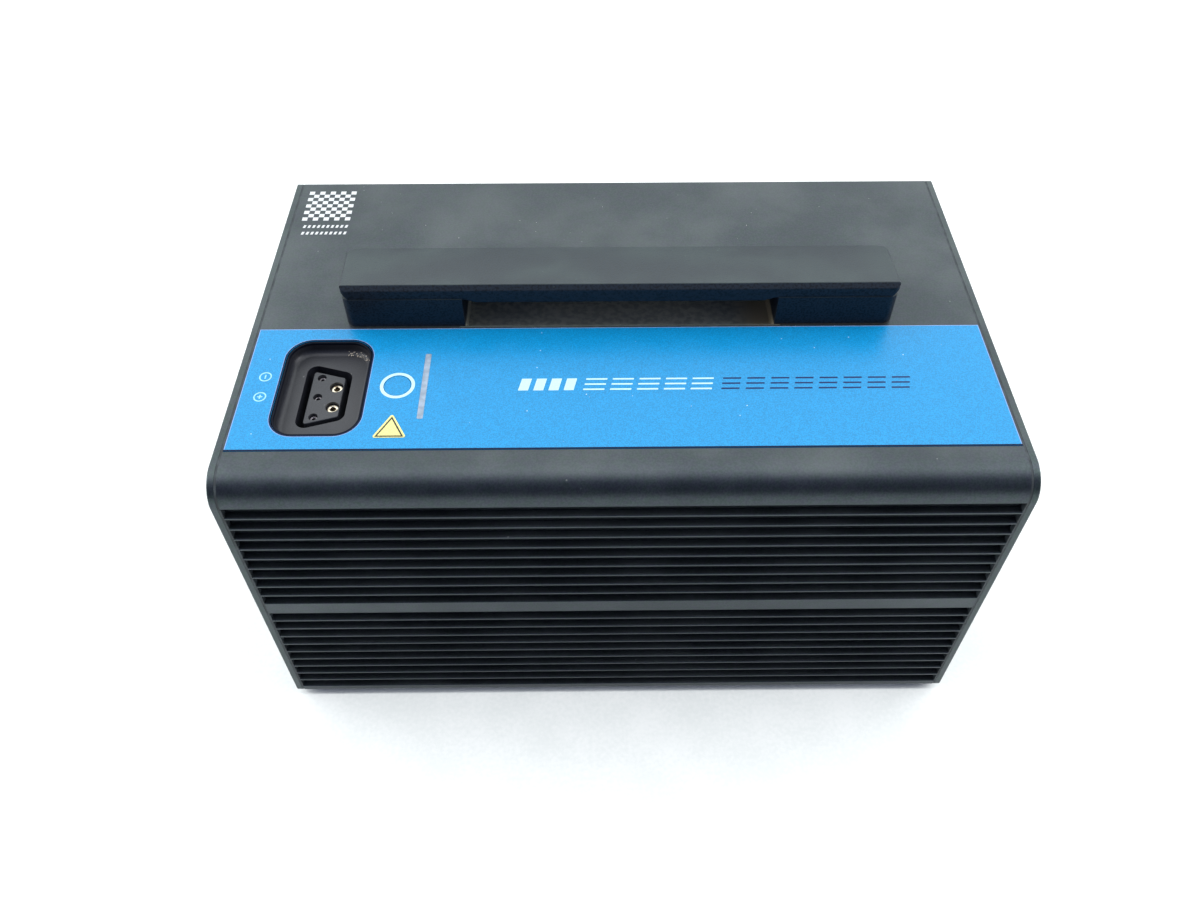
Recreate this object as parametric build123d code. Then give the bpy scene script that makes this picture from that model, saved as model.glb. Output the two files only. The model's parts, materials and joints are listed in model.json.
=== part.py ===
from build123d import *
import math
import os

# Portable battery pack: a finned aluminium case with a carrying handle, a five-way power port
# and a charge-state button. X runs along the case, Y from front to back, Z up.
# The origin is at the middle of the footprint, on the ground. Every length is in millimetres.
# Heights in the dimensions below count from the underside of the case. At the end every part is
# lifted by the height of the rails that the case stands on.

# ---- The case ----
case_width = 330.0
case_depth = 200.0
case_height = 170.0
plate_thickness = 3.0
plate_bottom = 0.0
plate_edge_radius = 0.7
gasket_thickness = 1.0
gasket_recess = 0.1
front_top_radius = 12.8
back_top_radius = 2.0
bottom_radius = 2.5
wall_side = 5.0
wall_top = 2.5
wall_bottom = 5.5
rail_height = 4.2
rail_middle = 88.0
rail_width = 12.0

half_width = case_width / 2
half_depth = case_depth / 2
shell_end = half_width - plate_thickness - gasket_thickness
cavity_y = half_depth - wall_side
cavity_bottom = wall_bottom
cavity_top = case_height - wall_top

dish_depth = 0.8
dish_width = 160.0
dish_height = 116.0
vent_place = (55.0, 120.0)

# ---- Cooling grooves on the front and the back ----
grooves_per_group = 10
groove_pitch = 7.28
groove_opening = 5.9
groove_depth = 3.0
upper_group_top = 157.1
lower_group_top = 77.0
rib_edge_chamfer = 0.3

# ---- Screw channels that run along the whole case, and the end screws ----
channel_radius = 2.05
channel_boss_radius = 4.0
channel_places = [
    (-92.0, 9.6), (92.0, 9.6), (-45.0, 9.0), (45.0, 9.0), (-95.8, 81.4), (95.8, 81.4),
    (-90.3, 162.8), (91.8, 164.3), (-60.0, 164.0), (60.0, 164.0),
]
end_screw_radius = 2.0
end_screw_head_radius = 4.0
end_screw_length = 11.0

# ---- The blue label film on the top ----
label_thickness = 0.4
label_recess = 0.25
label_front = -80.5
label_back = -10.2
label_half_width = 160.8
label_top = case_height - label_recess + label_thickness

# ---- The power port ----
port_x = -127.0
port_y = -45.0
port_cutout_width = 37.3
port_cutout_depth = 54.8
port_cutout_radius = 10.5
port_gap = 0.2
port_wall = 0.9
port_floor = case_height - 6.2
port_flange_width = 50.0
port_flange_depth = 68.0
port_flange_top = cavity_top - 1.2
port_flange_bottom = port_floor - 2.4
well_left = port_x - 10.4
well_right = port_x + 9.8
well_half_left = 19.4
well_half_right = 13.4
well_bottom = port_floor - 15.8
insert_gap = 2.9
insert_top = port_floor - 0.6
power_contact_x = port_x + 3.6
power_contact_spread = 5.75
power_hole_radius = 2.9
signal_contact_x = port_x - 3.6
signal_contact_spread = 11.3
signal_hole_radius = 1.95
contact_bottom = 138.0

# ---- The charge-state button and the light bar ----
button_x = -95.3
button_y = port_y
button_radius = 5.7
button_hole_radius = 6.0
button_travel = 0.5
button_cap_bottom = 168.9
button_stem_bottom = 165.3
guide_top = button_cap_bottom - button_travel - 0.2
guide_bottom = 166.3
light_x = -83.9
light_y = port_y
light_width = 2.6
light_length = 37.7
board_thickness = 1.6
display_board_top = 162.6
display_left = -101.4
display_right = -76.4
display_half_depth = 27.0

# ---- The handle ----
handle_front = -8.5
base_step = 0.35
handle_back = 45.0
handle_half_front = 121.8
handle_half_back = 130.5
handle_reach = 135.0
parting_front = 186.0
parting_back = 170.4
nose_corner = 193.65
cover_back = 171.2
nose_chamfer = 2.0
nose_edge_radius = 0.6
cover_edge_radius = 0.8
cover_corner_radius = 2.0
post_corner_radius = 4.5
notch_depth = 2.4
notch_length = 20.0
notch_height = 3.6
pocket_half_width = 69.4
pocket_front = -9.6
pocket_back = 33.0
pocket_floor = 161.0
pocket_wall = 2.4
lip_bottom = 183.6
lip_back = 5.0
cover_skin = 3.4
handle_screw_places = [(82.0, 1.0, 176.0), (108.0, 1.0, 176.0), (95.0, 17.0, 172.6)]
bracket_thickness = 3.0

# ---- The cells ----
cell_radius = 9.1
cell_length = 65.0
cell_pitch = 18.9
cell_columns = 17
cell_rows = 5
block_outer_y = 91.0
block_bottom = 15.0
holder_thickness = 7.0
strip_thickness = 0.3
sheet_thickness = 0.25

block_inner_y = block_outer_y - cell_length
block_middle_y = (block_outer_y + block_inner_y) / 2
block_height = cell_rows * cell_pitch
block_top = block_bottom + block_height
block_middle_z = block_bottom + block_height / 2
block_half_width = cell_columns * cell_pitch / 2

# ---- The battery management board ----
tray_top = block_top + 2.5
bms_board_bottom = 118.0
bms_board_top = bms_board_bottom + board_thickness
bms_half_width = 112.0
bms_half_depth = 60.0
bms_screw_places = [(x, y) for x in (-104.0, 0.0, 104.0) for y in (-52.0, 52.0)]
lead_radius = 2.5
terminal_top = bms_board_top + 7.0
battery_terminal = (-98.0, 12.0)
output_terminal = (-98.0, -14.0)
mosfet_top = bms_board_top + 4.4
balance_header_x = -70.0
signal_header_x = -85.0
header_top = bms_board_top + 8.0
fuse_x = 148.0
fuse_y = 0.0
fuse_base_top = 116.0
fuse_half_length = 20.0


# ---- Helpers: a flat outline drawn out along one axis, and plain boxes ----
def along_x(outline, start, end):
    return extrude(Plane.YZ.offset(start) * outline, amount=end - start)


def along_y(outline, start, end):
    return extrude(Plane.XZ.offset(-end) * outline, amount=end - start)


def along_z(outline, start, end):
    return extrude(Pos(0, 0, start) * outline, amount=end - start)


def block(x0, x1, y0, y1, z0, z1):
    middle = Pos((x0 + x1) / 2, (y0 + y1) / 2, (z0 + z1) / 2)
    return middle * Box(x1 - x0, y1 - y0, z1 - z0)


def rod(x, y, z0, z1, radius):
    return Pos(x, y, (z0 + z1) / 2) * Cylinder(radius, z1 - z0)


def rounded_rectangle(x, y, width, depth, radius):
    return Pos(x, y) * RectangleRounded(width, depth, radius)


def nearest_corner(outline, y, z):
    return outline.vertices().sort_by_distance((y, z, 0))[0]


def polygon(points):
    return make_face(Polyline(*points, close=True))


def mirrored(shape):
    return mirror(shape, Plane.YZ)


# ---- Case ----
def case_outline(bottom, low_radius):
    outline = Pos(0, (bottom + case_height) / 2) * Rectangle(case_depth, case_height - bottom)
    outline = fillet(nearest_corner(outline, -half_depth, case_height), front_top_radius)
    outline = fillet(nearest_corner(outline, half_depth, case_height), back_top_radius)
    outline = fillet(nearest_corner(outline, -half_depth, bottom), low_radius)
    outline = fillet(nearest_corner(outline, half_depth, bottom), low_radius)
    return outline


def groove_middles():
    for group_top in (upper_group_top, lower_group_top):
        for index in range(grooves_per_group):
            yield group_top - index * groove_pitch - groove_opening / 2


def groove_outline(side, middle):
    """One square-bottomed groove, flared at its mouth so that the rib edges are broken."""
    mouth = groove_opening / 2 + 2 * rib_edge_chamfer
    throat = groove_opening / 2
    outside = half_depth + rib_edge_chamfer
    neck = half_depth - rib_edge_chamfer
    bottom = half_depth - groove_depth
    return polygon([
        (side * outside, middle - mouth), (side * neck, middle - throat), (side * bottom, middle - throat),
        (side * bottom, middle + throat), (side * neck, middle + throat), (side * outside, middle + mouth),
    ])


def cavity_outline():
    height = cavity_top - cavity_bottom
    cavity = Pos(0, cavity_bottom + height / 2) * Rectangle(2 * cavity_y, height)
    cavity = fillet(nearest_corner(cavity, -cavity_y, cavity_top), 9.0)
    return cavity


def shell_outline():
    outline = case_outline(0.0, bottom_radius)
    outline -= [groove_outline(side, middle) for middle in groove_middles() for side in (-1, 1)]
    rail = Rectangle(rail_width, rail_height + 1.0)
    outline += [Pos(side * rail_middle, (1.0 - rail_height) / 2) * rail for side in (-1, 1)]
    return outline - cavity_outline()


def port_cutout(grow, start, end):
    outline = rounded_rectangle(
        port_x, port_y, port_cutout_width + 2 * grow, port_cutout_depth + 2 * grow, port_cutout_radius + grow
    )
    return along_z(outline, start, end)


def light_slot(grow, start, end):
    width = light_width + 2 * grow
    length = light_length + 2 * grow
    return along_z(rounded_rectangle(light_x, light_y, width, length, 0.6 + grow), start, end)


def port_screw_places():
    return [(port_x + sx * 19.8, port_y + sy * 28.6) for sx in (-1, 1) for sy in (-1, 1)]


def countersunk_plug(shank_radius, head_radius, length):
    """The outer shape of a flat-headed screw that points down from height zero."""
    head_height = head_radius - shank_radius
    head = Pos(0, 0, -head_height / 2) * Cone(shank_radius, head_radius, head_height)
    return head + rod(0, 0, -length, -head_height, shank_radius)


def countersunk_screw(shank_radius, head_radius, length):
    head_height = head_radius - shank_radius
    socket = along_z(RegularPolygon(head_radius * 0.45, 6), -head_height * 0.8, 0.1)
    return countersunk_plug(shank_radius, head_radius, length) - socket


def rod_along_x(y, z, start, end, radius):
    return Pos((start + end) / 2, y, z) * Rot(0, 90, 0) * Cylinder(radius, end - start)


def shell():
    body = along_x(shell_outline(), -shell_end, shell_end)
    for y, z in channel_places:
        body += rod_along_x(y, z, -shell_end, shell_end, channel_boss_radius)
    for y, z in channel_places:
        body -= rod_along_x(y, z, -shell_end - 1, shell_end + 1, channel_radius)
    top = case_height + 1
    body -= block(-shell_end - 1, shell_end + 1, label_front - 0.2, label_back + 0.2,
                  case_height - label_recess, top)
    # The front screw channel is milled away where the port and the display board hang.
    body -= block(port_x - 28, light_x + 12, -66.0, -54.0, 150.0, cavity_top)
    body -= port_cutout(0.0, cavity_top - 1, top)
    body -= rod(button_x, button_y, cavity_top - 1, top, button_hole_radius)
    body -= light_slot(0.1, cavity_top - 1, top)
    body -= block(-pocket_half_width - pocket_wall - 0.2, pocket_half_width + pocket_wall + 0.2,
                  pocket_front - 0.2, pocket_back + pocket_wall + 0.2, cavity_top - 1, top)
    for x, y, _ in handle_screw_places:
        body -= rod(x, y, cavity_top - 1, top, 2.75)
        body -= rod(-x, y, cavity_top - 1, top, 2.75)
    for x, y in port_screw_places():
        body -= Pos(x, y, case_height - label_recess) * countersunk_plug(1.6, 3.0, 20.0)
    return body


def end_plate():
    """The right-hand end plate: its outer face at +X is dished, with countersunk holes."""
    inner = half_width - plate_thickness
    plate = along_x(case_outline(plate_bottom, 3.0), inner, half_width)
    outer_face = plate.faces().sort_by(Axis.X)[-1]
    plate = fillet(outer_face.edges(), plate_edge_radius)
    dish = Pos(0, (plate_bottom + case_height) / 2) * RectangleRounded(dish_width, dish_height, 9.0)
    plate -= along_x(dish, half_width - dish_depth, half_width + 1)
    for y, z in channel_places:
        plate -= Pos(half_width, y, z) * Rot(0, 90, 0) * countersunk_plug(2.25, 4.25, 8.0)
    return plate


def vented_end_plate():
    return end_plate() - rod_along_x(*vent_place, 160.0, 170.0, 5.0)


def vent_plug():
    """A pressure vent: a flat cap in the plate's dish, a stem through the plate and a flange inside."""
    dish_face = half_width - dish_depth
    inner_face = half_width - plate_thickness
    cap = rod_along_x(*vent_place, dish_face, half_width - 0.05, 8.0)
    cap -= rod_along_x(*vent_place, half_width - 0.4, half_width + 1, 5.5)
    stem = rod_along_x(*vent_place, inner_face, dish_face, 4.8)
    flange = rod_along_x(*vent_place, inner_face - 2.0, inner_face, 7.0)
    return cap + stem + flange


def end_gasket():
    """A flat ring between shell and end plate, whose edge shows all round as a fine line."""
    height = case_height - plate_bottom
    middle = (plate_bottom + case_height) / 2
    ring = offset(case_outline(plate_bottom, 3.0), -gasket_recess)
    ring -= Pos(0, middle + 0.5) * RectangleRounded(2 * 87.0, height - 24.0, 4.0)
    ring -= [Pos(y, z) * Circle(2.4) for y, z in channel_places]
    return along_x(ring, shell_end, shell_end + gasket_thickness)


def end_screws():
    screw = countersunk_screw(end_screw_radius, end_screw_head_radius, end_screw_length)
    return Compound([Pos(half_width - 0.25, y, z) * Rot(0, 90, 0) * screw for y, z in channel_places])


# ---- Label ----
def top_label():
    film = block(-label_half_width, label_half_width, label_front, label_back,
                 label_top - label_thickness, label_top)
    film -= port_cutout(0.0, label_top - 1, label_top + 1)
    film -= rod(button_x, button_y, label_top - 1, label_top + 1, button_radius + 0.15)
    film -= light_slot(0.0, label_top - 1, label_top + 1)
    return film


def marker_sticker():
    triangle = polygon([(-102.4, -74.0), (-88.2, -74.0), (-95.4, -61.0)])
    triangle = fillet(triangle.vertices(), 0.8)
    return along_z(triangle, label_top, label_top + 0.15)


# ---- Power port ----
def well_outline(grow):
    corners = [
        (well_left, port_y - well_half_left), (well_right, port_y - well_half_right),
        (well_right, port_y + well_half_right), (well_left, port_y + well_half_left),
    ]
    outline = fillet(polygon(corners).vertices(), 4.2)
    if grow:
        outline = offset(outline, grow)
    return outline


def contact_rods(grow, start, end):
    rods = []
    for step in (-1, 1):
        y = port_y + step * power_contact_spread
        rods.append(rod(power_contact_x, y, start, end, power_hole_radius + grow))
    for step in (-1, 0, 1):
        y = port_y + step * signal_contact_spread
        rods.append(rod(signal_contact_x, y, start, end, signal_hole_radius + grow))
    return rods


def port_housing():
    collar = port_cutout(-port_gap, port_flange_bottom, label_top - 0.3)
    flange = rounded_rectangle(port_x, port_y, port_flange_width, port_flange_depth, 9.0)
    body = collar + along_z(flange, port_flange_bottom, port_flange_top)
    body += along_z(well_outline(2.0), well_bottom - 2.0, port_flange_bottom)
    recess = port_cutout(-port_gap - port_wall, port_floor, label_top + 1)
    recess = fillet(recess.faces().sort_by(Axis.Z)[0].edges(), 2.5)
    body -= recess
    body -= along_z(well_outline(0.0), well_bottom, port_floor + 0.1)
    rim = body.faces().sort_by(Axis.Z)[-1]
    body = fillet(rim.edges(), 0.3)
    for hole in contact_rods(0.0, well_bottom - 3, well_bottom + 1):
        body -= hole
    for x, y in port_screw_places():
        body -= rod(x, y, port_flange_bottom + 0.6, port_flange_top + 1, 1.5)
    return body


def port_insert():
    """The raised insulator with five contact holes; its foot fills the bottom of the well."""
    body = along_z(well_outline(-insert_gap), well_bottom, insert_top)
    body = fillet(body.faces().sort_by(Axis.Z)[-1].edges(), 0.5)
    body += along_z(well_outline(-0.15), well_bottom, well_bottom + 3.0)
    for hole in contact_rods(0.0, well_bottom - 1, insert_top + 1):
        body -= hole
    return body


def socket_contact(x, y, radius, bore, top):
    """A round socket contact with a rounded crown, a chamfered mouth and a thinner solder tail."""
    body = rod(x, y, well_bottom + 0.2, top, radius)
    body = fillet(body.edges().sort_by(Axis.Z)[-1], radius * 0.3)
    body += rod(x, y, contact_bottom, well_bottom + 0.2, radius * 0.8)
    body -= rod(x, y, top - 11.0, top + 1, bore)
    mouth = body.faces().sort_by(Axis.Z)[-1].edges().sort_by(SortBy.LENGTH)[0]
    return chamfer(mouth, 0.2)


def power_contacts():
    contacts = []
    for step in (-1, 1):
        y = port_y + step * power_contact_spread
        contacts.append(socket_contact(power_contact_x, y, power_hole_radius - 0.1, 1.25, insert_top - 1.3))
    return Compound(contacts)


def signal_contacts():
    contacts = []
    for step in (-1, 0, 1):
        y = port_y + step * signal_contact_spread
        contacts.append(socket_contact(signal_contact_x, y, signal_hole_radius - 0.1, 0.8, insert_top - 1.4))
    return Compound(contacts)


def port_seal():
    ring = rounded_rectangle(port_x, port_y, port_flange_width, port_flange_depth, 9.0)
    seal = along_z(ring, port_flange_top, cavity_top) - port_cutout(0.4, port_flange_top - 1, cavity_top + 1)
    for x, y in port_screw_places():
        seal -= rod(x, y, port_flange_top - 1, cavity_top + 1, 1.9)
    return seal


def port_screws():
    screw = countersunk_screw(1.45, 2.85, 7.2)
    return Compound([Pos(x, y, case_height - label_recess - 0.1) * screw for x, y in port_screw_places()])


# ---- Charge-state button and light bar ----
def charge_button():
    cap = rod(button_x, button_y, button_cap_bottom, label_top, button_radius)
    cap = fillet(cap.edges().sort_by(Axis.Z)[-1], 0.25)
    stem = rod(button_x, button_y, button_stem_bottom, button_cap_bottom, 2.1)
    flange = rod(button_x, button_y, button_stem_bottom, button_stem_bottom + 0.7, 3.0)
    return cap + stem + flange


def button_guide():
    ring = rod(button_x, button_y, guide_bottom, guide_top, button_hole_radius - 0.1)
    return ring - rod(button_x, button_y, guide_bottom - 1, guide_top + 1, 2.45)


def switch_body():
    body = block(button_x - 3.1, button_x + 3.1, button_y - 3.1, button_y + 3.1, display_board_top, 164.5)
    return body - rod(button_x, button_y, 163.1, 165.0, 1.85)


def switch_plunger():
    return rod(button_x, button_y, 163.8, button_stem_bottom, 1.5)


def light_bar_lens():
    bar = light_slot(-0.05, 165.9, label_top)
    foot = rounded_rectangle(light_x, light_y, light_width + 2.4, light_length + 2.4, 1.2)
    return bar + along_z(foot, 164.4, 165.9)


def status_lights():
    top = display_board_top + 0.9
    lights = []
    for index in range(5):
        y = light_y + (index - 2) * 8.0
        lights.append(block(light_x - 0.8, light_x + 0.8, y - 1.5, y + 1.5, display_board_top, top))
    return Compound(lights)


def display_screw_places():
    return [
        (x, light_y + side * (display_half_depth - 3.0))
        for x in (display_left + 3.0, display_right - 3.0)
        for side in (-1, 1)
    ]


def display_housing():
    """A shallow tray bonded under the case top; the board closes it from below."""
    low = light_y - display_half_depth
    high = light_y + display_half_depth
    inside = display_board_top - 1
    body = block(display_left, display_right, low, high, display_board_top, cavity_top)
    body -= block(display_left + 1.5, display_right - 1.5, low + 1.5, high - 1.5, inside, 165.9)
    for x, y in display_screw_places():
        body += rod(x, y, display_board_top, 166.2, 2.4)
    body -= rod(button_x, button_y, 165.0, 168.0, button_hole_radius)
    body -= light_slot(0.1, 165.0, 168.0)
    for x, y in display_screw_places():
        body -= rod(x, y, display_board_top - 1, 165.6, 1.05)
    return body


def display_board():
    low = light_y - display_half_depth
    high = light_y + display_half_depth
    bottom = display_board_top - board_thickness
    board = block(display_left, display_right, low, high, bottom, display_board_top)
    for x, y in display_screw_places():
        board -= rod(x, y, 155.0, 165.0, 1.15)
    return board


def small_screw(shank_radius, length, head_radius, head_height):
    """A pan-head screw pointing up, with its head below height zero."""
    head = rod(0, 0, -head_height, 0, head_radius)
    head = fillet(head.edges().sort_by(Axis.Z)[0], head_height * 0.4)
    head -= along_z(RegularPolygon(head_radius * 0.5, 6), -head_height - 0.1, -head_height * 0.4)
    return head + rod(0, 0, 0, length, shank_radius)


def display_screws():
    screw = small_screw(1.0, 4.0, 1.9, 1.4)
    bottom = display_board_top - board_thickness
    return Compound([Pos(x, y, bottom) * screw for x, y in display_screw_places()])


# ---- Handle ----
def parting_height(y):
    share = (y - handle_front) / (handle_back - handle_front)
    return parting_front + share * (parting_back - parting_front)


def cover_height(y):
    share = (y - handle_front) / (handle_back - handle_front)
    return nose_corner + share * (cover_back - nose_corner)


def handle_plan(front, front_corner_radius):
    """The handle seen from above: it widens towards the back."""
    plan = polygon([
        (-handle_half_front, front), (handle_half_front, front),
        (handle_half_back, handle_back), (-handle_half_back, handle_back),
    ])
    for x in (-handle_half_back, handle_half_back):
        plan = fillet(plan.vertices().sort_by_distance((x, handle_back, 0))[0], 5.0)
    for x in (-handle_half_front, handle_half_front):
        plan = fillet(plan.vertices().sort_by_distance((x, front, 0))[0], front_corner_radius)
    return along_z(plan, pocket_floor - 10, nose_corner + 5)


def side_notches():
    """What bevels the lower end edges of the cover: wedge-shaped gaps above the parting line."""
    slope = math.degrees(math.atan((parting_front - parting_back) / (handle_back - handle_front)))
    taper = math.degrees(math.atan((handle_half_back - handle_half_front) / (handle_back - handle_front)))
    beyond = 5.0
    section = polygon([
        (-notch_depth, -1.0), (-notch_depth, 0.0), (0.0, notch_height),
        (beyond, notch_height), (beyond, -1.0),
    ])
    notch = along_y(section, -1.0, notch_length)
    notch = Pos(handle_half_front, handle_front, parting_front) * Rot(-slope, 0, -taper) * notch
    return [notch, mirrored(notch)]


def handle_base():
    """Two posts joined at the back, with a finger pocket that hangs through the case top."""
    front = handle_front - base_step
    wedge = polygon([
        (front, case_height), (handle_back, case_height),
        (handle_back, parting_back), (front, parting_height(front)),
    ])
    body = along_x(wedge, -handle_reach, handle_reach) & handle_plan(front, post_corner_radius)
    tray_bottom = pocket_floor - pocket_wall
    tray_outline = polygon([
        (pocket_front, tray_bottom), (pocket_back - 5.0, tray_bottom),
        (pocket_back + pocket_wall, pocket_floor + 5.0), (pocket_back + pocket_wall, case_height),
        (handle_front, case_height), (handle_front, label_top), (pocket_front, label_top),
    ])
    tray_half = pocket_half_width + pocket_wall
    body += along_x(tray_outline, -tray_half, tray_half)
    above = case_height + 20.0
    pocket_outline = polygon([
        (handle_front, pocket_floor + 2.0), (handle_front + 2.0, pocket_floor),
        (pocket_back - 6.0, pocket_floor), (pocket_back, pocket_floor + 6.0),
        (pocket_back, above), (handle_front - 5.0, above),
        (handle_front - 5.0, label_top), (handle_front, label_top),
    ])
    body -= along_x(pocket_outline, -pocket_half_width, pocket_half_width)
    for x, y, boss_bottom in handle_screw_places:
        for side in (-1, 1):
            body -= rod(side * x, y, boss_bottom - 0.3, 200.0, 5.5)
            body -= rod(side * x, y, 160.0, boss_bottom, 2.75)
    return body


def nose_limit():
    """A long prism whose front edge is bevelled; what the cover has in common with it gets the bevel."""
    bevel_top = (handle_front + nose_chamfer, cover_height(handle_front + nose_chamfer))
    bevel_bottom = (handle_front, bevel_top[1] - nose_chamfer)
    profile = polygon([
        (handle_front, case_height), (handle_back, case_height - 10.0),
        (handle_back, cover_back), bevel_top, bevel_bottom,
    ])
    for corner in (bevel_top, bevel_bottom):
        profile = fillet(nearest_corner(profile, *corner), nose_edge_radius)
    return along_x(profile, -handle_reach, handle_reach)


def handle_cover():
    """The sloping top with its bevelled nose, and a lip that the fingers close around."""
    profile = polygon([
        (handle_front, parting_front), (handle_back, parting_back),
        (handle_back, cover_back), (handle_front, nose_corner),
    ])
    body = along_x(profile, -handle_reach, handle_reach) & handle_plan(handle_front, cover_corner_radius)
    slope = body.faces().filter_by(lambda face: face.normal_at().Z > 0.85).sort_by(SortBy.AREA)[-1]
    ends = [edge for edge in slope.edges() if abs(edge.center().X) > handle_half_front]
    body = fillet(ends, cover_edge_radius) & nose_limit()
    hollow = polygon([
        (lip_back, 160.0), (lip_back, cover_height(lip_back) - cover_skin - 0.4),
        (pocket_back, cover_height(pocket_back) - cover_skin), (pocket_back, 160.0),
    ])
    body -= along_x(hollow, -pocket_half_width, pocket_half_width)
    lip = polygon([(-61.5, lip_bottom), (61.5, lip_bottom), (68.0, 186.0), (-68.0, 186.0)])
    lip = along_y(lip, handle_front, lip_back)
    lip = fillet(lip.faces().sort_by(Axis.Z)[0].edges().filter_by(Axis.X), 1.2)
    body += lip
    for x, y, boss_bottom in handle_screw_places:
        for side in (-1, 1):
            body += rod(side * x, y, boss_bottom, parting_height(y) + 1.4, 5.2)
            body -= rod(side * x, y, boss_bottom - 1, boss_bottom + 7.4, 3.2)
    return body - side_notches()


def handle_inserts():
    inserts = []
    for x, y, boss_bottom in handle_screw_places:
        for side in (-1, 1):
            ring = rod(side * x, y, boss_bottom, boss_bottom + 7.0, 3.15)
            inserts.append(ring - rod(side * x, y, boss_bottom - 1, boss_bottom + 8, 2.55))
    return Compound(inserts)


def handle_screws():
    head_plane = cavity_top - bracket_thickness
    screws = []
    for x, y, boss_bottom in handle_screw_places:
        screw = small_screw(2.5, boss_bottom + 6.5 - head_plane, 4.3, 4.6)
        for side in (-1, 1):
            screws.append(Pos(side * x, y, head_plane) * screw)
    return Compound(screws)


def handle_brackets():
    """Two steel plates under the case top that spread the carrying load."""
    plate = block(75.5, 119.0, -7.0, 27.0, cavity_top - bracket_thickness, cavity_top)
    plate = fillet(plate.edges().filter_by(Axis.Z), 4.0)
    for x, y, _ in handle_screw_places:
        plate -= rod(x, y, 160.0, 170.0, 2.75)
    return Compound([plate, mirrored(plate)])


def handle_seal():
    """A bead around the finger pocket, under the case top."""
    half = pocket_half_width + pocket_wall
    back = pocket_back + pocket_wall
    ring = block(-half - 3, half + 3, pocket_front - 3, back + 3, cavity_top - 2.0, cavity_top)
    return ring - block(-half - 0.1, half + 0.1, pocket_front - 0.1, back + 0.1, 160.0, 170.0)


# ---- Cells, holders and strips ----
def cell_places():
    for column in range(cell_columns):
        for row in range(cell_rows):
            x = (column - (cell_columns - 1) / 2) * cell_pitch
            z = block_middle_z + (row - (cell_rows - 1) / 2) * cell_pitch
            yield column, x, z


def cell():
    """One 18650 cell standing on its flat end, with its raised positive cap on top."""
    can = Cylinder(cell_radius, cell_length - 0.8)
    can = Pos(0, 0, -0.4) * fillet(can.edges(), 0.8)
    return can + rod(0, 0, cell_length / 2 - 1.0, cell_length / 2, 3.8)


def cell_block(side):
    """Five rows of seventeen cells; each column faces the opposite way to the one beside it."""
    up = cell()
    cells = []
    for column, x, z in cell_places():
        turn = 90 if (column % 2 == 0) == (side < 0) else -90
        cells.append(Pos(x, side * block_middle_y, z) * Rot(turn, 0, 0) * up)
    return Compound(cells)


def cell_holder(y0, y1):
    outline = Pos(0, block_middle_z) * Rectangle(2 * block_half_width, block_height)
    outline -= [Pos(x, z) * Circle(cell_radius + 0.1) for _, x, z in cell_places()]
    return along_y(outline, y0, y1)


def cell_holders(side):
    """The outer and the inner frame that grip the ends of one block's cells."""
    outer = sorted((side * block_outer_y, side * (block_outer_y - holder_thickness)))
    inner = sorted((side * block_inner_y, side * (block_inner_y + holder_thickness)))
    return cell_holder(*outer), cell_holder(*inner)


def strip(first_column, columns, y0, y1):
    """A nickel strip over one or two columns, with a row of slots for the welds."""
    middle = (first_column + (columns - 1) / 2 - (cell_columns - 1) / 2) * cell_pitch
    outline = Pos(middle, block_middle_z) * Rectangle(columns * cell_pitch - 2.0, block_height - 6.0)
    for column, x, z in cell_places():
        if first_column <= column < first_column + columns:
            outline -= Pos(x, z) * Rectangle(1.2, 7.0)
    return along_y(outline, y0, y1)


def nickel_strips(side):
    """Strips link neighbouring columns, in turn on the inner and on the outer face."""
    outer = sorted((side * block_outer_y, side * (block_outer_y + strip_thickness)))
    inner = sorted((side * block_inner_y, side * (block_inner_y - strip_thickness)))
    strips = [strip(0, 1, *outer), strip(cell_columns - 1, 1, *inner)]
    for column in range(cell_columns - 1):
        face = inner if column % 2 == 0 else outer
        strips.append(strip(column, 2, *face))
    return Compound(strips)


def insulation_sheets():
    sheets = []
    for side in (-1, 1):
        for start, step in ((block_outer_y + strip_thickness, 1), (block_inner_y - strip_thickness, -1)):
            y0, y1 = sorted((side * start, side * (start + step * sheet_thickness)))
            sheets.append(block(-138.0, 138.0, y0, y1, block_bottom + 1, block_top - 1))
    return Compound(sheets)


def thermal_pads():
    """Soft pads that carry heat from the cells to the finned walls, clear of the middle screw channel."""
    pads = []
    inner = block_outer_y + strip_thickness + sheet_thickness
    for side in (-1, 1):
        y0, y1 = sorted((side * inner, side * cavity_y))
        for z0, z1 in ((block_bottom + 2, 76.0), (87.0, block_top - 2)):
            pads.append(block(-136.0, 136.0, y0, y1, z0, z1))
    return Compound(pads)


def foam_pads():
    """Strips that the cell blocks stand on, and columns that hold them down under the case top."""
    pads = []
    for side in (-1, 1):
        for near, far in ((28.0, 39.0), (51.0, 84.0)):
            y0, y1 = sorted((side * near, side * far))
            pads.append(block(-152.0, 152.0, y0, y1, cavity_bottom, block_bottom))
    for x, y in ((-144.0, 67.0), (126.0, 67.0), (126.0, -85.0), (20.0, -85.0)):
        pads.append(block(x, x + 22.0, y, y + 18.0, block_top, 158.0))
    return Compound(pads)


def centre_spacer():
    """A ladder frame that presses both blocks against the side walls."""
    half = block_inner_y - strip_thickness - sheet_thickness - 0.2
    frame = block(-136.0, 136.0, -half, half, block_bottom + 3, block_top - 3)
    bays = 6
    bay_width = (272.0 - 3.0 * (bays + 1)) / bays
    for bay in range(bays):
        left = -136.0 + 3.0 + bay * (bay_width + 3.0)
        frame -= block(left, left + bay_width, -half + 3, half - 3, 0, 150)
    return frame


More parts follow.
